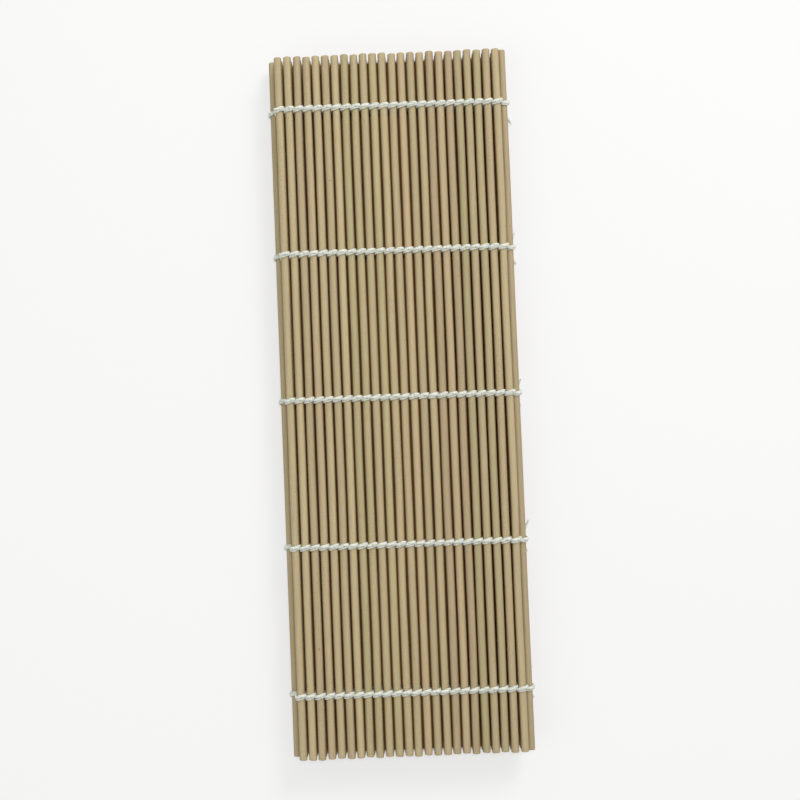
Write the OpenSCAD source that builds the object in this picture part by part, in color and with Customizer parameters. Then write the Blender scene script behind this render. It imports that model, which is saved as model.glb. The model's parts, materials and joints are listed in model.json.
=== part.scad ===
// Round bamboo sticks side by side, held by five rows of twined cotton cord.
// The mat lies folded in three: lower panel, middle panel and upper panel.
// Sticks run along Y, the panels lie across X, and the lower panel rests on Z = 0.

/* [Sticks] */
// Length of every stick
stick_len = 240; // [200:5:300]
// Diameter of a stick
stick_d = 2.7; // [2.2:0.1:2.9]
// Distance between the centres of neighbouring sticks
stick_pitch = 3.25; // [3.25:0.05:3.6]
// Bevel on the rim of each stick end
stick_bevel = 0.35; // [0.1:0.05:0.6]

/* [Cords] */
// Thickness of cord above and below a stick
cord_t = 0.85; // [0.7:0.05:1]
// Width of a cord row along the sticks
cord_w = 2.4; // [1.8:0.1:3]
// Distance between neighbouring cord rows
row_pitch = 50; // [40:1:50]
// Distance of the middle cord row from the middle of the sticks
row_shift = 1.5; // [0:0.5:3]
// Gap between a stick and the cord round it
cord_gap = 0.02; // [0.01:0.01:0.05]

/* [Knots] */
// Diameter of the knot at the end of a cord row
knot_d = 2.9; // [2.4:0.1:3]
// Diameter of the cut tails of a knot
tail_d = 1; // [0.6:0.1:1.2]
// Length of a tail from the middle of its knot
tail_len = 4.5; // [3:0.5:6]

/* [Hidden] */
// The sticks of a panel come in groups, and the upper panel rolls from group to group
group_sticks = 3;
groups = 8;
panel_sticks = group_sticks * groups;
row_count = 5;

stick_r = stick_d / 2;
bore_r = stick_r + cord_gap;
cord_h = stick_d + 2 * cord_t;
// Round of a cord over a stick, pressed flat at the top and at the bottom
cord_r = cord_h / 2 + 0.2;
// A row stops this far past its last stick's centre, and starts this far before its first
row_after = 0.5;
row_before = 0.6;
// Half the width of the cord pads on a stick that turns alone
pad_half = 0.5;
edge_pad_half = 0.8;
// How far an edge pad starts from its stick's centre
edge_pad_from = 0.6;

// A fold turns by 45, 90 and 45 degrees, over one stick that stands out at the side
fold_step = stick_pitch * sin(45);
lower_z = cord_h / 2;
middle_z = lower_z + 2 * fold_step;
upper_z = lower_z + 4 * fold_step;
left_fold_z = lower_z + fold_step;
right_fold_z = middle_z + fold_step;
fold_x = stick_x(panel_sticks - 1) + fold_step;
knot_x = stick_x(panel_sticks - 1) + stick_r + knot_d / 2 + 0.05;
tail_x = knot_x + 0.3;
tail_z = tail_d / 2 + 0.8;
// A small length by which cutting shapes pass the faces that they cut
cut = 1;

straw = "#d8c496";
honey = "#cdb682";
cotton = "#eef0ea";

// Stick 0 of a panel is at its left side, and row 1 is the row nearest to +Y
function stick_x(k) = (k - (panel_sticks - 1) / 2) * stick_pitch;
function row_y(i) = row_shift + ((row_count + 1) / 2 - i) * row_pitch;

// A round bar along Y with its middle at the origin
module bar(r, len) {
    rotate([90, 0, 0])
        cylinder(r = r, h = len, center = true, $fn = 48);
}

// One stick, its rims bevelled
module stick(x, z) {
    half = stick_len / 2;
    translate([x, 0, z])
        rotate([90, 0, 0])
            rotate_extrude($fn = 48)
                polygon([
                    [0, -half],
                    [stick_r - stick_bevel, -half],
                    [stick_r, stick_bevel - half],
                    [stick_r, half - stick_bevel],
                    [stick_r - stick_bevel, half],
                    [0, half]
                ]);
}

// Sticks of one panel, from number first to number last
module sticks(first, last, z) {
    for (k = [first:last])
        stick(stick_x(k), z);
}

// A stretch of cord over and under the sticks first to last, between two places on X
module cord_run(i, first, last, from_x, to_x, z) {
    translate([0, row_y(i), z])
        difference() {
            intersection() {
                union() {
                    for (k = [first:last])
                        translate([stick_x(k), 0, 0])
                            bar(cord_r, cord_w);
                }
                translate([from_x, -cord_w / 2, -cord_h / 2])
                    cube([to_x - from_x, cord_w, cord_h]);
            }
            for (k = [first:last])
                translate([stick_x(k), 0, 0])
                    bar(bore_r, cord_w + cut);
        }
}

// The cord pads above and below a single stick
module pads(i, x, z) {
    translate([x, row_y(i), z])
        difference() {
            intersection() {
                bar(cord_r, cord_w);
                cube([2 * pad_half, cord_w, cord_h], center = true);
            }
            bar(bore_r, cord_w + cut);
        }
}

// The cord pad on the outer side of a fold stick: side is 1 at the right and -1 at the left
module outer_pad(i, x, z, side) {
    far = cord_h / 2;
    middle = side * (far + edge_pad_from) / 2;
    translate([x, row_y(i), z])
        difference() {
            intersection() {
                bar(cord_r, cord_w);
                translate([middle, 0, 0])
                    cube([far - edge_pad_from, cord_w, 2 * edge_pad_half], center = true);
            }
            bar(bore_r, cord_w + cut);
        }
}

// Half a turn of cord round the free side of an edge stick
module half_turn(i, x, z, side) {
    translate([x, row_y(i), z])
        difference() {
            intersection() {
                bar(cord_r, cord_w);
                translate([side * cord_h / 2, 0, 0])
                    cube([cord_h, cord_w, cord_h], center = true);
            }
            bar(bore_r, cord_w + cut);
        }
}

// One group of sticks of the lower or the middle panel, counted from the left
module lower_sticks(g) {
    color(straw)
        sticks(group_sticks * (g - 1), group_sticks * g - 1, lower_z);
}

// The middle panel's first stick belongs to the fold, so its last group has two sticks
module middle_sticks(g) {
    first = group_sticks * (g - 1) + 1;
    color(straw)
        sticks(first, min(first + group_sticks, panel_sticks) - 1, middle_z);
}

// The upper panel is counted from the fold at the right, and its last group has two sticks
function upper_first(g) = panel_sticks - 2 - group_sticks * (g - 1);
function upper_last(g) = max(upper_first(g) - group_sticks + 1, 0);

module upper_sticks(g) {
    color(honey)
        sticks(upper_last(g), upper_first(g), upper_z);
}

module left_fold_stick() {
    color(straw)
        stick(-fold_x, left_fold_z);
}

module middle_edge_stick() {
    color(straw)
        stick(stick_x(0), middle_z);
}

module right_fold_stick() {
    color(honey)
        stick(fold_x, right_fold_z);
}

module upper_edge_stick() {
    color(honey)
        stick(stick_x(panel_sticks - 1), upper_z);
}

module lower_cord_row(i) {
    last = panel_sticks - 1;
    color(cotton)
        cord_run(i, 0, last, stick_x(0) - row_after, stick_x(last), lower_z);
}

module middle_cord_row(i) {
    last = panel_sticks - 1;
    from_x = stick_x(1) - row_before;
    color(cotton)
        cord_run(i, 1, last, from_x, stick_x(last) + row_after, middle_z);
}

// The five cords of one group of the upper panel
module upper_cords(g) {
    near = upper_first(g);
    far = upper_last(g);
    far_x = g == groups ? stick_x(far) : stick_x(far) - row_after;
    color(cotton)
        for (i = [1:row_count])
            cord_run(i, far, near, far_x, stick_x(near) + row_before, upper_z);
}

module left_fold_cords() {
    color(cotton)
        for (i = [1:row_count])
            outer_pad(i, -fold_x, left_fold_z, -1);
}

module right_fold_cords() {
    color(cotton)
        for (i = [1:row_count])
            outer_pad(i, fold_x, right_fold_z, 1);
}

module middle_edge_cords() {
    color(cotton)
        for (i = [1:row_count])
            pads(i, stick_x(0), middle_z);
}

module upper_edge_cords() {
    color(cotton)
        for (i = [1:row_count])
            pads(i, stick_x(panel_sticks - 1), upper_z);
}

// Each cord starts as a loop round the upper panel's free edge stick
module start_loops() {
    color(cotton)
        for (i = [1:row_count])
            half_turn(i, stick_x(0), upper_z, -1);
}

// Each cord ends round the lower panel's free edge stick, in a knot with two cut tails
module end_knots() {
    color(cotton)
        for (i = [1:row_count]) {
            difference() {
                union() {
                    half_turn(i, stick_x(panel_sticks - 1), lower_z, 1);
                    translate([knot_x, row_y(i), lower_z])
                        sphere(d = knot_d, $fn = 32);
                    translate([tail_x, row_y(i), tail_z])
                        bar(tail_d / 2, 2 * tail_len);
                }
                translate([stick_x(panel_sticks - 1), row_y(i), lower_z])
                    bar(bore_r, 4 * tail_len);
            }
        }
}

for (g = [1:groups]) {
    lower_sticks(g);
    middle_sticks(g);
    upper_sticks(g);
    upper_cords(g);
}
for (i = [1:row_count]) {
    lower_cord_row(i);
    middle_cord_row(i);
}
left_fold_stick();
middle_edge_stick();
right_fold_stick();
upper_edge_stick();
left_fold_cords();
middle_edge_cords();
right_fold_cords();
upper_edge_cords();
start_loops();
end_knots();
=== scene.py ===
import json
import math
import random

import bmesh
import bpy
import numpy as np
from mathutils import Matrix, Vector

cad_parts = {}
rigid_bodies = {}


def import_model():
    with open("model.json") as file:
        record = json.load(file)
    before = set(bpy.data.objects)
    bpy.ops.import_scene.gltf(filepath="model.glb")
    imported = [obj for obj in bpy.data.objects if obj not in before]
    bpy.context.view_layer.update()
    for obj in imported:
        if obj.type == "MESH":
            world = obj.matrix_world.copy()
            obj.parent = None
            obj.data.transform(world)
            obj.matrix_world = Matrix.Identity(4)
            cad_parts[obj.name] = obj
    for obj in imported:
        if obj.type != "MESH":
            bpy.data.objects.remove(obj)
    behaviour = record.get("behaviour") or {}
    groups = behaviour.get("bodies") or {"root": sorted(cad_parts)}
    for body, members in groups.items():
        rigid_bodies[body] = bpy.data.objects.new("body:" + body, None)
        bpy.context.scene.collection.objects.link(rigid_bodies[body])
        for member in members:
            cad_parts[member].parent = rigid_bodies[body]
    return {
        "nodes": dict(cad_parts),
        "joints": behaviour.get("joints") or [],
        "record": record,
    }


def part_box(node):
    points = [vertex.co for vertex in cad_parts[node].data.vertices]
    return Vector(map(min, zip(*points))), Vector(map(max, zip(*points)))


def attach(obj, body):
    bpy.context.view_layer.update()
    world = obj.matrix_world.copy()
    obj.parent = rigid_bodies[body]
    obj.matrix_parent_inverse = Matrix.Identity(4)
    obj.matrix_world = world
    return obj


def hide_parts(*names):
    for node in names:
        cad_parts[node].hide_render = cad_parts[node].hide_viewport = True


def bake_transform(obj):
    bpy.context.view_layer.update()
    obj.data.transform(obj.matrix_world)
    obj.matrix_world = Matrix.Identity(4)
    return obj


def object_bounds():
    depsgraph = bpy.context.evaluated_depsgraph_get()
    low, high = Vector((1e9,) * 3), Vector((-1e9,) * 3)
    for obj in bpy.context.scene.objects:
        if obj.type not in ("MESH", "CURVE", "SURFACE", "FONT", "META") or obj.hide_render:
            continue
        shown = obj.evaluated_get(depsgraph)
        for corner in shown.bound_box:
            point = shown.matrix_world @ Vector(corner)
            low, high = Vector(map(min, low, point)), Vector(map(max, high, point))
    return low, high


bl_info = {
    "name": "Bamboo rolling mat",
    "version": (1, 0, 0),
    "blender": (4, 5, 0),
    "location": "View3D > Sidebar > Rolling mat",
    "description": "Dresses a mat, folded in three, with bamboo sticks and twined cotton cords",
    "category": "Add Mesh",
}

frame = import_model()
CAD_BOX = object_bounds()
MM = 0.001

# Sizes of the mat, all in millimetres, measured on the frame
BODIES = frame["record"]["behaviour"]["bodies"]
GROUPS = 8
ROWS = 5


def side_lengths(node):
    """Length of a node's box along X, Y and Z."""
    low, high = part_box(node)
    return (high - low) / MM


STICK_D = side_lengths("left_fold_stick").x
STICK_R = STICK_D / 2
STICK_LEN = side_lengths("left_fold_stick").y
PITCH = (side_lengths("lower_sticks_1").x - STICK_D) / 2
CORD_HALF = side_lengths("lower_cord_row_1").z / 2


def row_middle(row):
    """Place along Y of a cord row, counted from the +Y end."""
    low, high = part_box(f"lower_cord_row_{row}")
    return (low.y + high.y) / 2 / MM


ROW_Y = [row_middle(row) for row in range(1, ROWS + 1)]
ROW_PITCH = ROW_Y[0] - ROW_Y[1]

# The yarn: half its thickness and width over a stick, and where it passes between two sticks
YARN_THICK = CORD_HALF - STICK_R - 0.02
YARN_HALF = YARN_THICK / 2
YARN_WIDE = 0.92
PINCH_HALF = (PITCH - STICK_D) / 2
PINCH_WIDE = 0.62
SWAY = 0.52
PLIES = 3
PLY_LAY = 4.6
PLY_DEPTH = 0.09
ARC_RINGS = 12
YARN_SIDES = 12

STICK_SIDES = 20
STICK_RINGS = 34


class RollingMatSticks(bpy.types.PropertyGroup):
    """Shape, tones and painted side shade of the bamboo sticks."""

    bow: bpy.props.FloatProperty(
        name="Bow",
        description="How far a stick may bend sideways between two cord rows, in millimetres",
        default=0.1,
        min=0.0,
        max=0.22,
    )
    bevel: bpy.props.FloatProperty(
        name="Rim",
        description="Radius of the rounded rim at a stick's end, in millimetres",
        default=0.4,
        min=0.1,
        max=0.6,
    )
    uneven: bpy.props.FloatProperty(
        name="Uneven ends",
        description="How much shorter than the longest a stick end may be cut, in millimetres",
        default=0.45,
        min=0.0,
        max=1.5,
    )
    straw: bpy.props.FloatVectorProperty(
        name="Straw",
        description="Tone of the palest sticks",
        subtype="COLOR",
        size=3,
        default=(0.47, 0.388, 0.226),
        min=0.0,
        max=1.0,
    )
    green_tan: bpy.props.FloatVectorProperty(
        name="Green tan",
        description="Tone of sticks cut near the green outside of the cane",
        subtype="COLOR",
        size=3,
        default=(0.435, 0.374, 0.204),
        min=0.0,
        max=1.0,
    )
    rose_tan: bpy.props.FloatVectorProperty(
        name="Rose tan",
        description="Tone of sticks cut near the inside of the cane",
        subtype="COLOR",
        size=3,
        default=(0.465, 0.364, 0.218),
        min=0.0,
        max=1.0,
    )
    # Painted shade: a golden brown on each stick's sides where they face the next sticks, standing in for
    # the shade and the light bounced off the wood there
    painted_side_shade: bpy.props.FloatVectorProperty(
        name="Flanks",
        description="Tone of a stick's sides, which face the next sticks",
        subtype="COLOR",
        size=3,
        default=(0.3, 0.17, 0.055),
        min=0.0,
        max=1.0,
    )
    speck: bpy.props.FloatVectorProperty(
        name="Specks",
        description="Colour of the small dark specks and fibre ends",
        subtype="COLOR",
        size=3,
        default=(0.13, 0.065, 0.025),
        min=0.0,
        max=1.0,
    )


class RollingMatCords(bpy.types.PropertyGroup):
    """Colours and tails of the cotton cords."""

    cotton: bpy.props.FloatVectorProperty(
        name="Cotton",
        description="Colour of clean yarn",
        subtype="COLOR",
        size=3,
        default=(0.86, 0.87, 0.78),
        min=0.0,
        max=1.0,
    )
    # Shade: painted shade in the valleys between the plies; it also darkens random patches that follow the
    # fuzz noise
    shade: bpy.props.FloatVectorProperty(
        name="Shade",
        description="Colour between the plies of the yarn",
        subtype="COLOR",
        size=3,
        default=(0.45, 0.5, 0.42),
        min=0.0,
        max=1.0,
    )
    tail: bpy.props.FloatProperty(
        name="Tail",
        description="Length of the cut tails past a knot, in millimetres",
        default=5.0,
        min=2.0,
        max=8.0,
    )


class RollingMatStage(bpy.types.PropertyGroup):
    """Floor, lamps and camera."""

    floor: bpy.props.FloatVectorProperty(
        name="Floor",
        description="Colour of the floor",
        subtype="COLOR",
        size=3,
        default=(0.82, 0.82, 0.81),
        min=0.0,
        max=1.0,
    )
    key: bpy.props.FloatProperty(
        name="Key lamp",
        description="Power of the lamp at the upper right",
        unit="POWER",
        default=5.2,
        min=0.0,
        max=40.0,
    )
    around: bpy.props.FloatProperty(
        name="Light all round",
        description="Strength of the even light of the room",
        default=0.45,
        min=0.0,
        max=1.0,
    )
    elevation: bpy.props.FloatProperty(
        name="Camera elevation",
        description="Angle of the camera above the floor",
        subtype="ANGLE",
        default=math.radians(87.6),
        min=0.0,
        max=math.radians(89.9),
    )
    roll: bpy.props.FloatProperty(
        name="Camera roll",
        description="Turn of the mat in the picture, counter-clockwise",
        subtype="ANGLE",
        default=math.radians(2.3),
        min=-math.pi,
        max=math.pi,
    )
    distance: bpy.props.FloatProperty(
        name="Camera distance",
        description="From the camera to the middle of the mat",
        unit="LENGTH",
        default=0.5,
        min=0.2,
        max=5.0,
    )
    view_width: bpy.props.FloatProperty(
        name="View width",
        description="Width of what the camera sees at the mat",
        unit="LENGTH",
        default=0.2712,
        min=0.05,
        max=2.0,
    )


# Node helpers

def add_node(tree, kind, sockets=None, **settings):
    """A new node. sockets gives a value, or the output to link, for each input by name or number."""
    node = tree.nodes.new(kind)
    for name, value in settings.items():
        setattr(node, name, value)
    for name, value in (sockets or {}).items():
        if isinstance(value, bpy.types.NodeSocket):
            tree.links.new(value, node.inputs[name])
        else:
            node.inputs[name].default_value = value
    return node


def math_node(tree, operation, first, second=0.0, clamp=False):
    return add_node(tree, "ShaderNodeMath", {0: first, 1: second},
                    operation=operation, use_clamp=clamp).outputs[0]


def mixed_colour(tree, share, first, second, blend_type="MIX"):
    return add_node(tree, "ShaderNodeMix", {0: share, 6: first, 7: second},
                    data_type="RGBA", blend_type=blend_type).outputs[2]


def stretched_noise(tree, place, scale, detail=3.0):
    """Noise that is drawn out along some axes: scale is cycles per millimetre along each."""
    mapped = add_node(tree, "ShaderNodeMapping", {"Vector": place, "Scale": scale})
    return add_node(tree, "ShaderNodeTexNoise",
                    {"Vector": mapped.outputs[0], "Scale": 1.0, "Detail": detail}).outputs["Fac"]


def span(tree, value, low, high, to_low=0.0, to_high=1.0):
    """value from low to high turned into to_low to to_high, held at both ends."""
    return add_node(tree, "ShaderNodeMapRange",
                    {"Value": value, "From Min": low, "From Max": high,
                     "To Min": to_low, "To Max": to_high}).outputs[0]


def new_material(name):
    material = bpy.data.materials.new(name)
    material.use_nodes = True
    material.node_tree.nodes.clear()
    return material, material.node_tree


def finish_material(tree, colour, rough, height, depth, **constants):
    """A principled surface with a bumped normal. constants are set on the shader's own sockets."""
    bump = add_node(tree, "ShaderNodeBump",
                    {"Height": height, "Strength": 1.0, "Distance": depth * MM})
    shader = add_node(tree, "ShaderNodeBsdfPrincipled",
                      {"Base Color": colour, "Roughness": rough, "Normal": bump.outputs[0]})
    for name, value in constants.items():
        shader.inputs[name.replace("_", " ")].default_value = value
    add_node(tree, "ShaderNodeOutputMaterial", {"Surface": shader.outputs[0]})


def with_alpha(colour):
    return (*colour, 1.0)


def bamboo_skin(sticks):
    """Long fibres, soft patches of tone, painted shade on the sides that face the next sticks, fine ribs
    across some sticks, and dark specks.
    """
    material, tree = new_material("bamboo_skin")
    place = add_node(tree, "ShaderNodeAttribute", attribute_name="grain_place").outputs["Vector"]
    tone = add_node(tree, "ShaderNodeAttribute", attribute_name="stick_tone").outputs["Vector"]
    kind, shade, ribbed = add_node(tree, "ShaderNodeSeparateXYZ", {0: tone}).outputs

    patch = stretched_noise(tree, place, (0.3, 0.03, 0.3), 2.0)
    mixed_kind = math_node(tree, "ADD", kind, span(tree, patch, 0.3, 0.7, -0.15, 0.15), clamp=True)
    to_rose = span(tree, mixed_kind, 0.6, 1.0)
    to_green = span(tree, mixed_kind, 0.35, 0.0)
    colour = mixed_colour(tree, to_rose, with_alpha(sticks.straw), with_alpha(sticks.rose_tan))
    colour = mixed_colour(tree, to_green, colour, with_alpha(sticks.green_tan))

    broad = stretched_noise(tree, place, (1.1, 0.02, 1.1), 3.0)
    fine = stretched_noise(tree, place, (6.0, 0.09, 6.0), 4.0)
    streak = math_node(tree, "ADD", span(tree, broad, 0.3, 0.7, -0.07, 0.05),
                       span(tree, fine, 0.3, 0.7, -0.1, 0.06))
    # Painted shade on the sides of each stick that face the neighbouring sticks: mixed towards a golden
    # brown that stands in for shade and bounced light
    painted_side_shade = add_node(tree, "ShaderNodeAttribute", attribute_name="painted_side_shade").outputs["Fac"]
    colour = mixed_colour(tree, span(tree, painted_side_shade, 0.72, 1.0, 0.0, 0.75), colour, with_alpha(sticks.painted_side_shade))
    level = math_node(tree, "ADD", span(tree, shade, 0.0, 1.0, 0.9, 1.06), streak)
    colour = mixed_colour(tree, 1.0, colour, level, "MULTIPLY")

    along = add_node(tree, "ShaderNodeSeparateXYZ", {0: place}).outputs[1]
    wobble = stretched_noise(tree, place, (0.8, 0.4, 0.8), 2.0)
    turns = math_node(tree, "ADD", math_node(tree, "MULTIPLY", along, 7.5),
                      math_node(tree, "MULTIPLY", wobble, 5.0))
    wave = math_node(tree, "SINE", turns)
    stretch = stretched_noise(tree, place, (0.05, 0.025, 0.05), 1.0)
    where = math_node(tree, "MULTIPLY", span(tree, ribbed, 0.62, 0.8), span(tree, stretch, 0.42, 0.6))
    ribs = math_node(tree, "MULTIPLY", wave, where)
    colour = mixed_colour(tree, span(tree, ribs, 0.1, 1.0, 0.0, 0.22), colour, with_alpha(sticks.green_tan))

    dashes = stretched_noise(tree, place, (4.2, 0.55, 4.2), 2.0)
    colour = mixed_colour(tree, span(tree, dashes, 0.66, 0.8, 0.0, 0.38), colour, with_alpha(sticks.speck))
    spots = stretched_noise(tree, place, (0.9, 0.42, 0.9), 3.0)
    colour = mixed_colour(tree, span(tree, spots, 0.735, 0.8, 0.0, 0.7), colour, with_alpha(sticks.speck))

    height = math_node(tree, "ADD", math_node(tree, "MULTIPLY", fine, 0.7),
                       math_node(tree, "MULTIPLY", ribs, 0.5))
    rough = span(tree, broad, 0.3, 0.7, 0.5, 0.66)
    finish_material(tree, colour, rough, height, 0.07, Specular_IOR_Level=0.38, IOR=1.5,
                    Subsurface_Weight=0.35, Subsurface_Radius=(1.0, 0.45, 0.12), Subsurface_Scale=1.5 * MM)
    return material


def end_grain(sticks):
    """The cut ends: darker than the skin, with the dots of the fibre bundles."""
    material, tree = new_material("bamboo_end_grain")
    place = add_node(tree, "ShaderNodeAttribute", attribute_name="grain_place").outputs["Vector"]
    dots = add_node(tree, "ShaderNodeTexVoronoi", {"Vector": place, "Scale": 3.4}).outputs["Distance"]
    cloud = stretched_noise(tree, place, (0.9, 0.9, 0.9), 3.0)
    colour = mixed_colour(tree, span(tree, dots, 0.32, 0.12), with_alpha(sticks.rose_tan),
                          with_alpha(sticks.speck))
    colour = mixed_colour(tree, 1.0, colour, span(tree, cloud, 0.3, 0.7, 0.72, 1.0), "MULTIPLY")
    finish_material(tree, colour, span(tree, cloud, 0.3, 0.7, 0.75, 0.9), dots, 0.08,
                    Specular_IOR_Level=0.2)
    return material


def cotton_yarn(cords):
    """Soft twisted yarn: fine fibres that run round it at a slant, and painted shade in the lines between
    plies.
    """
    material, tree = new_material("cotton_yarn")
    place = add_node(tree, "ShaderNodeAttribute", attribute_name="yarn_place").outputs["Vector"]
    along, turn, ply = add_node(tree, "ShaderNodeSeparateXYZ", {0: place}).outputs
    fuzz = stretched_noise(tree, place, (2.2, 9.0, 1.0), 4.0)
    slant = math_node(tree, "ADD", math_node(tree, "MULTIPLY", turn, 2 * math.pi * 9),
                      math_node(tree, "MULTIPLY", along, 2 * math.pi * 1.6))
    fibre = math_node(tree, "SINE", math_node(tree, "ADD", slant, math_node(tree, "MULTIPLY", fuzz, 5.0)))
    # Painted shade in the valleys between the plies, plus darker patches that follow the fuzz noise
    valley = span(tree, ply, 0.45, 0.0)
    dark = math_node(tree, "ADD", math_node(tree, "MULTIPLY", valley, 0.55),
                     span(tree, fuzz, 0.62, 0.3, 0.0, 0.35), clamp=True)
    colour = mixed_colour(tree, dark, with_alpha(cords.cotton), with_alpha(cords.shade))
    height = math_node(tree, "ADD", math_node(tree, "MULTIPLY", fibre, 0.3),
                       math_node(tree, "MULTIPLY", fuzz, 1.2))
    finish_material(tree, colour, span(tree, fuzz, 0.3, 0.7, 0.82, 0.97), height, 0.1,
                    Specular_IOR_Level=0.15, Sheen_Weight=0.25, Sheen_Roughness=0.5)
    return material


def shared_material(name, make, settings):
    """One material of that name for all pieces, made when it is first asked for."""
    return bpy.data.materials.get(name) or make(settings)


# Mesh helpers

def tube_faces(rings, sides, first):
    """Quads between neighbouring rings of points, and one polygon that closes each end."""
    faces = []
    for ring in range(rings - 1):
        for side in range(sides):
            a = first + ring * sides + side
            b = first + ring * sides + (side + 1) % sides
            faces.append((a, b, b + sides, a + sides))
    faces.append(tuple(first + side for side in reversed(range(sides))))
    faces.append(tuple(first + (rings - 1) * sides + side for side in range(sides)))
    return faces


def add_piece(name, points, faces, attributes, materials, end_faces=()):
    """A mesh object from points in millimetres. end_faces numbers the faces of the second material."""
    mesh = bpy.data.meshes.new(name)
    mesh.from_pydata((np.asarray(points) * MM).tolist(), [], faces)
    for title, values in attributes.items():
        layer = mesh.attributes.new(title, "FLOAT_VECTOR", "POINT")
        layer.data.foreach_set("vector", np.asarray(values, np.float32).ravel())
    for material in materials:
        mesh.materials.append(material)
    for number in end_faces:
        mesh.polygons[number].material_index = 1
    mesh.polygons.foreach_set("use_smooth", [True] * len(faces))
    cleaner = bmesh.new()
    cleaner.from_mesh(mesh)
    bmesh.ops.recalc_face_normals(cleaner, faces=cleaner.faces)
    cleaner.to_mesh(mesh)
    cleaner.free()
    mesh.update()
    piece = bpy.data.objects.new(name, mesh)
    bpy.context.scene.collection.objects.link(piece)
    return piece


# The sticks, in the order in which the cords meet them

def stick_centres(node):
    """Places on X and Z of the sticks in a node, from left to right."""
    low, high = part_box(node)
    count = round(((high.x - low.x) / MM - STICK_D) / PITCH) + 1
    height = (low.z + high.z) / 2 / MM
    return [(low.x / MM + STICK_R + n * PITCH, height) for n in range(count)]


def sticks_of(stem, right_first):
    """(x, z, node, number in its node) of a panel's sticks, starting from its right or left."""
    nodes = [f"{stem}_sticks_{g}" for g in range(1, GROUPS + 1)]
    nodes += [n for n in (f"{stem}_edge_stick",) if n in frame["nodes"]]
    found = [(x, z, node, n) for node in nodes for n, (x, z) in enumerate(stick_centres(node))]
    return sorted(found, reverse=right_first)


def one_stick(node):
    (x, z), = stick_centres(node)
    return (x, z, node, 0)


CHAIN = (sticks_of("lower", True) + [one_stick("left_fold_stick")] + sticks_of("middle", False)
         + [one_stick("right_fold_stick")] + sticks_of("upper", True))
LAST = len(CHAIN) - 1
BODY_OF = {node: body for body, nodes in BODIES.items() for node in nodes}
CHAIN_BODY = [BODY_OF[node] for x, z, node, n in CHAIN]


def direction(n):
    """Angle in the XZ plane from stick n to the next one in the chain."""
    n = min(max(n, 0), LAST - 1)
    (x0, z0), (x1, z1) = CHAIN[n][:2], CHAIN[n + 1][:2]
    return math.atan2(z1 - z0, x1 - x0)


def stick_shape(number, sticks):
    """Points, faces, attributes and end faces of one stick, with its own bow, girth and tone."""
    x, z = CHAIN[number][:2]
    own = random.Random(4100 + number)
    bow = [own.uniform(-1, 1) * sticks.bow for _ in range(2)]
    lift = own.uniform(-0.35, 0.35) * sticks.bow
    girth = STICK_R * own.uniform(0.965, 1.0)
    oval = own.uniform(0.0, 0.02)
    swell = own.uniform(0, 2 * math.pi)
    ends = [own.uniform(0, sticks.uneven) for _ in range(2)]
    slants = [own.uniform(-0.12, 0.12) for _ in range(2)]
    rim = [(sticks.bevel * (1 - math.cos(a)), girth - sticks.bevel * (1 - math.sin(a)))
           for a in np.radians([0, 22, 45, 67, 90])]
    half = STICK_LEN / 2
    low, high = ends[0] - half, half - ends[1]
    rings = [(low + inward, radius) for inward, radius in rim]
    rings += [(y, girth) for y in np.linspace(low + 2, high - 2, STICK_RINGS)]
    rings += [(high - inward, radius) for inward, radius in reversed(rim)]
    turn = np.linspace(0, 2 * math.pi, STICK_SIDES, endpoint=False)
    points = []
    for n, (y, radius) in enumerate(rings):
        wave = math.pi * (y - ROW_Y[2]) / ROW_PITCH
        aside = bow[0] * math.sin(wave) + 0.35 * bow[1] * math.sin(2 * wave)
        up = lift * math.sin(wave)
        thick = radius * (1 + 0.008 * math.sin(y / 17 + swell))
        share = 2 * y / STICK_LEN
        slant = slants[0] * max(-share, 0) ** 40 + slants[1] * max(share, 0) ** 40
        points.append(np.stack([
            x + aside + thick * (1 - oval) * np.cos(turn),
            y + slant * (np.cos(turn) - 1) * np.sign(y) * np.sign(slant),
            z + up + thick * np.sin(turn),
        ], axis=1))
    points = np.concatenate(points)
    faces = tube_faces(len(rings), STICK_SIDES, 0)
    shift = np.array([own.uniform(-400, 400) for _ in range(3)])
    grain = points - np.array([x, 0, z]) + shift
    tone = np.tile([own.random(), own.random(), own.random()], (len(points), 1))
    # Mask of the painted side shade: 1 where the stick's side faces a neighbouring stick, 0 on its top and
    # bottom
    painted_side_shade = np.repeat(np.tile(abs(np.cos(turn)), len(rings))[:, None], 3, axis=1)
    attributes = {"grain_place": grain, "stick_tone": tone, "painted_side_shade": painted_side_shade}
    return points, faces, attributes, (len(faces) - 2, len(faces) - 1)


def joined(shapes):
    """Several (points, faces, attributes, end faces) as one."""
    points, faces, ends, attributes = [], [], [], {}
    start = 0
    for shape_points, shape_faces, shape_attributes, shape_ends in shapes:
        ends += [len(faces) + number for number in shape_ends]
        faces += [tuple(start + corner for corner in face) for face in shape_faces]
        points.append(shape_points)
        for title, values in shape_attributes.items():
            attributes.setdefault(title, []).append(values)
        start += len(shape_points)
    return (np.concatenate(points), faces,
            {title: np.concatenate(values) for title, values in attributes.items()}, ends)


def build_stick_node(node, sticks):
    """The piece that stands for one node of sticks, and rides on that node's body."""
    numbers = [n for n, place in enumerate(CHAIN) if place[2] == node]
    points, faces, attributes, ends = joined([stick_shape(n, sticks) for n in numbers])
    materials = [shared_material("bamboo_skin", bamboo_skin, sticks),
                 shared_material("bamboo_end_grain", end_grain, sticks)]
    piece = add_piece(f"bamboo_{node}", points, faces, attributes, materials, ends)
    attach(piece, BODY_OF[node])
    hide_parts(node)


# The yarns. Each cord row has two, which change sides of the mat between all sticks

def yarn_stop(n, part):
    """Number of the ring at that part of the way round stick n."""
    return n * ARC_RINGS + round(part * ARC_RINGS)


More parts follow.
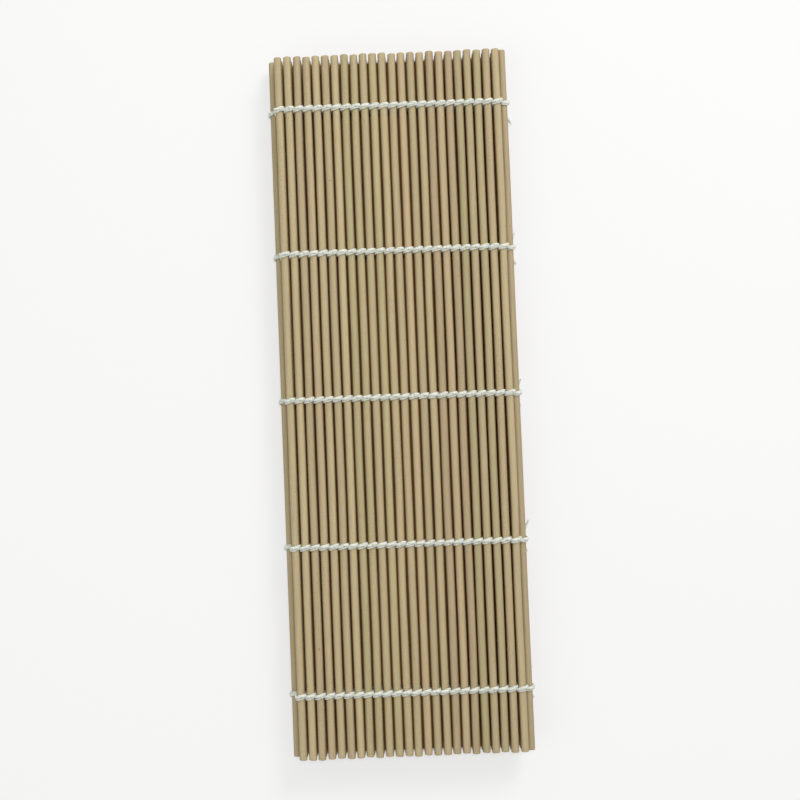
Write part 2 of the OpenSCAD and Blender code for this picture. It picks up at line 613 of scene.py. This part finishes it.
def yarn_rings(row, yarn):
    """Ring points and yarn places of one yarn from the first stick's far side to the last one's."""
    centres, normals, thick, wide = [], [], [], []
    for n in range(LAST + 1):
        x, z = CHAIN[n][:2]
        coming, going = direction(n - 1), direction(n)
        if n == 0:
            coming = going
        upper = (n + yarn) % 2 == 0
        turn = going - coming
        turn = (turn + math.pi) % (2 * math.pi) - math.pi
        sweep = math.pi + turn if upper else -(math.pi - turn)
        side = 1 if upper else -1
        steps = range(ARC_RINGS + 1) if n == LAST else range(ARC_RINGS)
        for step in steps:
            part = step / ARC_RINGS
            rise = math.sin(math.pi * part)
            free = (n == 0 and part < 0.5) or (n == LAST and part > 0.5)
            if free:
                rise = 1.0
                away = part - 0.5
                sway = -side * SWAY * math.sin(2 * math.pi * abs(away)) / 2 * (1 if away > 0 else -1)
            else:
                sway = side * SWAY * math.cos(math.pi * part)
            angle = coming + math.pi + sweep * part
            half = PINCH_HALF + (YARN_HALF - PINCH_HALF) * rise ** 0.7
            radius = STICK_R + half
            out = np.array([math.cos(angle), 0, math.sin(angle)])
            centres.append(np.array([x, ROW_Y[row] + sway, z]) + radius * out)
            normals.append(side * out)
            thick.append(half)
            wide.append(PINCH_WIDE + (YARN_WIDE - PINCH_WIDE) * rise)
    return ring_points(np.array(centres), np.array(normals), np.array(thick), np.array(wide),
                       10.0 * row + 3.1 * yarn)


def ring_points(centres, normals, thick, wide, seed):
    """Rings of points round a line, and for each point its length along, turn and ply height."""
    steps = np.linalg.norm(np.diff(centres, axis=0), axis=1)
    along = np.concatenate([[0], np.cumsum(steps)])
    tangents = np.gradient(centres, axis=0)
    tangents /= np.linalg.norm(tangents, axis=1, keepdims=True)
    across = np.cross(tangents, normals)
    across /= np.linalg.norm(across, axis=1, keepdims=True)
    normals = np.cross(across, tangents)
    turn = np.linspace(0, 2 * math.pi, YARN_SIDES, endpoint=False)
    ply = np.cos(PLIES * turn[None, :] - 2 * math.pi * along[:, None] / PLY_LAY * PLIES / 2 + seed)
    lobe = 1 - PLY_DEPTH * (1 - ply) / 2
    points = (centres[:, None, :]
              + normals[:, None, :] * (thick[:, None] * np.cos(turn) * lobe)[:, :, None]
              + across[:, None, :] * (wide[:, None] * np.sin(turn) * lobe)[:, :, None])
    place = np.stack([
        np.broadcast_to(along[:, None] + 37 * seed, ply.shape),
        np.broadcast_to(turn[None, :] / (2 * math.pi), ply.shape),
        (1 + ply) / 2,
    ], axis=2)
    return points, place


YARNS = {(row, yarn): yarn_rings(row, yarn) for row in range(ROWS) for yarn in range(2)}


def yarn_stretch(row, yarn, first, last):
    """The closed tube of one yarn between two of its rings."""
    points, place = YARNS[row, yarn]
    points, place = points[first:last + 1], place[first:last + 1]
    faces = tube_faces(len(points), YARN_SIDES, 0)
    return points.reshape(-1, 3), faces, {"yarn_place": place.reshape(-1, 3)}, ()


def cord_shapes(rows, first, last):
    """Both yarns of some rows, between two rings."""
    return [yarn_stretch(row, yarn, first, last) for row in rows for yarn in range(2)]


def add_cord(name, shapes, cords):
    points, faces, attributes, ends = joined(shapes)
    yarn = shared_material("cotton_yarn", cotton_yarn, cords)
    return add_piece(name, points, faces, attributes, [yarn])


def body_span(body):
    """First and last stick of a body in the chain."""
    numbers = [n for n, name in enumerate(CHAIN_BODY) if name == body]
    return numbers[0], numbers[-1]


def build_rigid_cord(name, rows, body, *nodes):
    """The yarns that stay with one body, from over its first stick to over its last."""
    first, last = body_span(body)
    shapes = cord_shapes(rows, yarn_stop(first, 0.5), yarn_stop(last, 0.5))
    piece = add_cord(name, shapes, bpy.context.scene.rolling_mat_cords)
    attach(piece, body)
    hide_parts(*nodes)


def build_hinge_cord(joint):
    """The yarns between the last stick of one body and the first of the next, built where they lie and
    attached to no body.
    """
    last = body_span(joint["parent"])[1]
    shapes = cord_shapes(range(ROWS), yarn_stop(last, 0.5), yarn_stop(last + 1, 0.5))
    piece = add_cord(f"yarns_at_{joint['name']}", shapes, bpy.context.scene.rolling_mat_cords)
    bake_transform(piece)
    return piece


# Knots and tails

def smooth_line(points, count):
    """A smooth curve through some points, as count points."""
    points = np.asarray(points, float)
    padded = np.vstack([2 * points[0] - points[1], points, 2 * points[-1] - points[-2]])
    result = []
    for place in np.linspace(0, len(points) - 1, count):
        n = min(int(place), len(points) - 2)
        t = place - n
        a, b, c, d = padded[n:n + 4]
        result.append(0.5 * (2 * b + (c - a) * t + (2 * a - 5 * b + 4 * c - d) * t ** 2
                             + (3 * b - a - 3 * c + d) * t ** 3))
    return np.array(result)


def free_yarn(line, half, seed, taper=False):
    """A round yarn along a line that nothing presses flat."""
    tangents = np.gradient(line, axis=0)
    tangents /= np.linalg.norm(tangents, axis=1, keepdims=True)
    normal = np.cross(tangents[0], [0.3, 0.2, 1.0])
    normals = []
    for tangent in tangents:
        normal = normal - tangent * (normal @ tangent)
        normal /= np.linalg.norm(normal)
        normals.append(normal)
    size = np.full(len(line), half)
    if taper:
        size[-2:] *= (0.9, 0.35)
    points, place = ring_points(line, np.array(normals), size, size * 1.08, seed)
    faces = tube_faces(len(points), YARN_SIDES, 0)
    return points.reshape(-1, 3), faces, {"yarn_place": place.reshape(-1, 3)}, ()


def knot_shapes(row, cords):
    """An overhand knot just outside the lower panel's free edge stick, with two frayed tails."""
    own = random.Random(900 + row)
    x, z = CHAIN[0][:2]
    middle = np.array([x + STICK_R + 1.35, ROW_Y[row], z])
    half = 0.4
    size = 0.36
    turn = np.linspace(0, 2 * math.pi, 40)
    loop = np.stack([np.sin(turn) + 2 * np.sin(2 * turn), np.cos(turn) - 2 * np.cos(2 * turn),
                     -1.3 * np.sin(3 * turn)], axis=1) * size
    tilt = np.array(Matrix.Rotation(own.uniform(-0.4, 0.4), 3, "X")
                    @ Matrix.Rotation(math.radians(90) + own.uniform(-0.3, 0.3), 3, "Y"))
    shapes = [free_yarn(loop @ tilt.T + middle, half, 5.0 * row)]
    for way in (-1, 1):
        lean = own.uniform(0.15, 0.45)
        reach = cords.tail * own.uniform(0.8, 1.15)
        drop = z - half - 0.15
        line = smooth_line([
            middle,
            middle + (0.5, way * 1.2, -0.4 * drop),
            middle + (0.5 + 0.4 * lean * reach, way * 0.55 * reach, -0.85 * drop),
            middle + (0.5 + lean * reach, way * reach, -drop + own.uniform(0, 0.4)),
        ], 16)
        shapes.append(free_yarn(line, half * 0.92, 7.0 * row + way, taper=True))
        heading = line[-1] - line[-3]
        heading /= np.linalg.norm(heading)
        for hair in range(6):
            bend = np.array([own.uniform(-0.5, 0.5) for _ in range(3)])
            bend[2] = max(bend[2], -0.1)
            long = own.uniform(0.6, 1.2)
            start = line[-2] + bend * 0.4
            hair_line = smooth_line([start, start + heading * long / 2 + bend * 0.15,
                                     start + heading * long + bend * 0.6], 5)
            shapes.append(free_yarn(hair_line, 0.07, hair, taper=True))
    return shapes


# The steps that a user runs from the panel

class BuildLowerSticks(bpy.types.Operator):
    """Build the sticks of the panel that the mat rests on"""

    bl_idname = "rolling_mat.lower_sticks"
    bl_label = "Lower sticks"

    def execute(self, context):
        for group in range(1, GROUPS + 1):
            build_stick_node(f"lower_sticks_{group}", context.scene.rolling_mat_sticks)
        return {"FINISHED"}


class BuildMiddleSticks(bpy.types.Operator):
    """Build the sticks of the middle panel"""

    bl_idname = "rolling_mat.middle_sticks"
    bl_label = "Middle sticks"

    def execute(self, context):
        for group in range(1, GROUPS + 1):
            build_stick_node(f"middle_sticks_{group}", context.scene.rolling_mat_sticks)
        return {"FINISHED"}


class BuildUpperSticks(bpy.types.Operator):
    """Build the sticks of the upper panel, which rolls up"""

    bl_idname = "rolling_mat.upper_sticks"
    bl_label = "Upper sticks"

    def execute(self, context):
        for group in range(1, GROUPS + 1):
            build_stick_node(f"upper_sticks_{group}", context.scene.rolling_mat_sticks)
        return {"FINISHED"}


class BuildFoldSticks(bpy.types.Operator):
    """Build the single sticks that stand in the two folds and next to them"""

    bl_idname = "rolling_mat.fold_sticks"
    bl_label = "Fold sticks"

    def execute(self, context):
        for node in ("left_fold_stick", "middle_edge_stick", "right_fold_stick", "upper_edge_stick"):
            build_stick_node(node, context.scene.rolling_mat_sticks)
        return {"FINISHED"}


class BuildPanelCords(bpy.types.Operator):
    """Twine the five cord rows through the lower and the middle panel"""

    bl_idname = "rolling_mat.panel_cords"
    bl_label = "Panel cords"

    def execute(self, context):
        for panel in ("lower", "middle"):
            for row in range(ROWS):
                node = f"{panel}_cord_row_{row + 1}"
                build_rigid_cord(f"yarns_{node}", [row], f"{panel}_panel", node)
        return {"FINISHED"}


class BuildUpperCords(bpy.types.Operator):
    """Twine the cord rows through the groups of the upper panel"""

    bl_idname = "rolling_mat.upper_cords"
    bl_label = "Upper cords"

    def execute(self, context):
        for group in range(1, GROUPS + 1):
            node = f"upper_cords_{group}"
            build_rigid_cord(f"yarns_{node}", range(ROWS), f"upper_panel_{group}", node)
        return {"FINISHED"}


class BuildHingeCords(bpy.types.Operator):
    """Twine the stretches of cord between two bodies, where the mat folds and rolls"""

    bl_idname = "rolling_mat.hinge_cords"
    bl_label = "Bending cords"

    def execute(self, context):
        stands_for = {
            "left_fold_open": "left_fold_cords",
            "left_fold_last": "middle_edge_cords",
            "right_fold_open": "right_fold_cords",
            "right_fold_last": "upper_edge_cords",
        }
        for joint in frame["joints"]:
            piece = build_hinge_cord(joint)
            if joint["name"] in stands_for:
                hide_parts(stands_for[joint["name"]])
        return {"FINISHED"}


class BuildStartLoops(bpy.types.Operator):
    """Loop each cord round the upper panel's free edge stick"""

    bl_idname = "rolling_mat.start_loops"
    bl_label = "Start loops"

    def execute(self, context):
        shapes = cord_shapes(range(ROWS), yarn_stop(LAST, 0.5), yarn_stop(LAST, 1))
        piece = add_cord("yarns_start_loops", shapes, context.scene.rolling_mat_cords)
        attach(piece, BODY_OF["start_loops"])
        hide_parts("start_loops")
        return {"FINISHED"}


class BuildEndKnots(bpy.types.Operator):
    """Knot each cord past the lower panel's free edge stick"""

    bl_idname = "rolling_mat.end_knots"
    bl_label = "End knots"

    def execute(self, context):
        cords = context.scene.rolling_mat_cords
        shapes = cord_shapes(range(ROWS), yarn_stop(0, 0), yarn_stop(0, 0.5))
        for row in range(ROWS):
            shapes += knot_shapes(row, cords)
        piece = add_cord("yarns_end_knots", shapes, cords)
        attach(piece, BODY_OF["end_knots"])
        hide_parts("end_knots")
        return {"FINISHED"}


def under_mat(tree):
    """0 on the floor that shows between the folded mat's sticks, where the floor is painted with shade, and
    1 clear of it.
    """
    place = add_node(tree, "ShaderNodeNewGeometry").outputs["Position"]
    x, y, z = add_node(tree, "ShaderNodeSeparateXYZ", {0: place}).outputs
    reach = (CAD_BOX[1].x - 2 * MM, CAD_BOX[1].y + 1 * MM)
    edges = [span(tree, math_node(tree, "ABSOLUTE", value), limit - 1.5 * MM, limit)
             for value, limit in zip((x, y), reach)]
    return math_node(tree, "MAXIMUM", *edges)


def floor_material(colour):
    """Pale floor: near white to the camera, a painted dark brown shade under the mat that shows between the
    sticks, with its shadow round it.
    """
    material, tree = new_material("pale_floor")
    under = under_mat(tree)
    rays = add_node(tree, "ShaderNodeLightPath").outputs
    seen = math_node(tree, "MAXIMUM", rays["Is Camera Ray"],
                     math_node(tree, "MAXIMUM", rays["Is Glossy Ray"], rays["Is Transmission Ray"]))
    matt = add_node(tree, "ShaderNodeBsdfDiffuse", {"Color": with_alpha(colour)})
    # Painted shade: under the mat the floor glows a dark brown, which stands in for the shade and the light
    # bounced off the wood between the folded panels
    glow = add_node(tree, "ShaderNodeEmission",
                    {"Color": mixed_colour(tree, under, (0.07, 0.035, 0.012, 1), (1, 1, 1, 1)),
                     "Strength": 1.0})
    both = add_node(tree, "ShaderNodeMixShader",
                    {0: math_node(tree, "MULTIPLY", seen, span(tree, under, 0.0, 1.0, 1.0, 0.55)),
                     1: matt.outputs[0], 2: glow.outputs[0]})
    add_node(tree, "ShaderNodeOutputMaterial", {"Surface": both.outputs[0]})
    return material


def add_lamp(name, place, target, size, power):
    lamp = bpy.data.lights.new(name, "AREA")
    lamp.shape = "SQUARE"
    lamp.size = size
    lamp.energy = power
    holder = bpy.data.objects.new(name, lamp)
    bpy.context.scene.collection.objects.link(holder)
    holder.location = place
    holder.rotation_euler = (Vector(target) - Vector(place)).to_track_quat("-Z", "Y").to_euler()


def set_world(strength):
    """Even light all round, and white wherever the camera or a glossy surface sees past the floor."""
    world = bpy.data.worlds.new("room")
    world.use_nodes = True
    tree = world.node_tree
    tree.nodes.clear()
    rays = add_node(tree, "ShaderNodeLightPath").outputs
    seen = math_node(tree, "MAXIMUM", rays["Is Camera Ray"],
                     math_node(tree, "MAXIMUM", rays["Is Glossy Ray"], rays["Is Transmission Ray"]))
    light = add_node(tree, "ShaderNodeBackground", {"Color": (1, 1, 1, 1), "Strength": strength})
    white = add_node(tree, "ShaderNodeBackground", {"Color": (1, 1, 1, 1), "Strength": 1.0})
    both = add_node(tree, "ShaderNodeMixShader", {0: seen, 1: light.outputs[0], 2: white.outputs[0]})
    add_node(tree, "ShaderNodeOutputWorld", {"Surface": both.outputs[0]})
    bpy.context.scene.world = world


def add_camera(stage, target):
    """A camera that looks down on the mat, from a little towards -Y, with its up along the sticks."""
    data = bpy.data.cameras.new("camera")
    data.sensor_width = 36
    data.lens = data.sensor_width * stage.distance / stage.view_width
    camera = bpy.data.objects.new("camera", data)
    bpy.context.scene.collection.objects.link(camera)
    back = Vector((0, -math.cos(stage.elevation), math.sin(stage.elevation)))
    camera.location = target + back * stage.distance
    facing = (-back).to_track_quat("-Z", "Y").to_matrix()
    camera.rotation_euler = (facing @ Matrix.Rotation(-stage.roll, 3, "Z")).to_euler()
    bpy.context.scene.camera = camera


class BuildStage(bpy.types.Operator):
    """Set the floor, the lamps, the room light and the camera"""

    bl_idname = "rolling_mat.stage"
    bl_label = "Stage"

    def execute(self, context):
        stage = context.scene.rolling_mat_stage
        half = 2.0
        mesh = bpy.data.meshes.new("floor")
        corners = [(-half, -half, 0), (half, -half, 0), (half, half, 0), (-half, half, 0)]
        mesh.from_pydata(corners, [], [(0, 1, 2, 3)])
        mesh.materials.append(floor_material(stage.floor))
        floor = bpy.data.objects.new("floor", mesh)
        context.scene.collection.objects.link(floor)
        add_lamp("key_lamp", (0.45, 0.7, 0.7), (0, 0, 0), 0.35, stage.key)
        add_lamp("fill_lamp", (-0.7, -0.3, 0.8), (0, 0, 0), 0.9, stage.key * 0.3)
        add_lamp("top_lamp", (0.06, 0.08, 0.9), (0, 0, 0), 0.12, stage.key * 0.42)
        set_world(stage.around)
        add_camera(stage, Vector((0.0, 0.0003, CAD_BOX[1].z)))
        context.scene.view_settings.view_transform = "Standard"
        return {"FINISHED"}


STEPS = (BuildLowerSticks, BuildMiddleSticks, BuildUpperSticks, BuildFoldSticks, BuildPanelCords,
         BuildUpperCords, BuildHingeCords, BuildStartLoops, BuildEndKnots, BuildStage)


class RollingMatPanel(bpy.types.Panel):
    """Sizes, colours and building steps of the rolling mat"""

    bl_idname = "VIEW3D_PT_rolling_mat"
    bl_label = "Rolling mat"
    bl_space_type = "VIEW_3D"
    bl_region_type = "UI"
    bl_category = "Rolling mat"

    def draw(self, context):
        scene = context.scene
        for settings in (scene.rolling_mat_sticks, scene.rolling_mat_cords, scene.rolling_mat_stage):
            box = self.layout.box()
            for name in settings.__annotations__:
                box.prop(settings, name)
        for step in STEPS:
            self.layout.operator(step.bl_idname)


SETTINGS = {
    "rolling_mat_sticks": RollingMatSticks,
    "rolling_mat_cords": RollingMatCords,
    "rolling_mat_stage": RollingMatStage,
}


def register():
    for kind in (*SETTINGS.values(), *STEPS, RollingMatPanel):
        bpy.utils.register_class(kind)
    for name, kind in SETTINGS.items():
        setattr(bpy.types.Scene, name, bpy.props.PointerProperty(type=kind))


def unregister():
    for name in SETTINGS:
        delattr(bpy.types.Scene, name)
    for kind in (RollingMatPanel, *reversed(STEPS), *reversed(SETTINGS.values())):
        bpy.utils.unregister_class(kind)


def main():
    register()
    bpy.ops.rolling_mat.lower_sticks()
    bpy.ops.rolling_mat.middle_sticks()
    bpy.ops.rolling_mat.upper_sticks()
    bpy.ops.rolling_mat.fold_sticks()
    bpy.ops.rolling_mat.panel_cords()
    bpy.ops.rolling_mat.upper_cords()
    bpy.ops.rolling_mat.hinge_cords()
    bpy.ops.rolling_mat.start_loops()
    bpy.ops.rolling_mat.end_knots()
    bpy.ops.rolling_mat.stage()


if __name__ == "__main__":
    main()
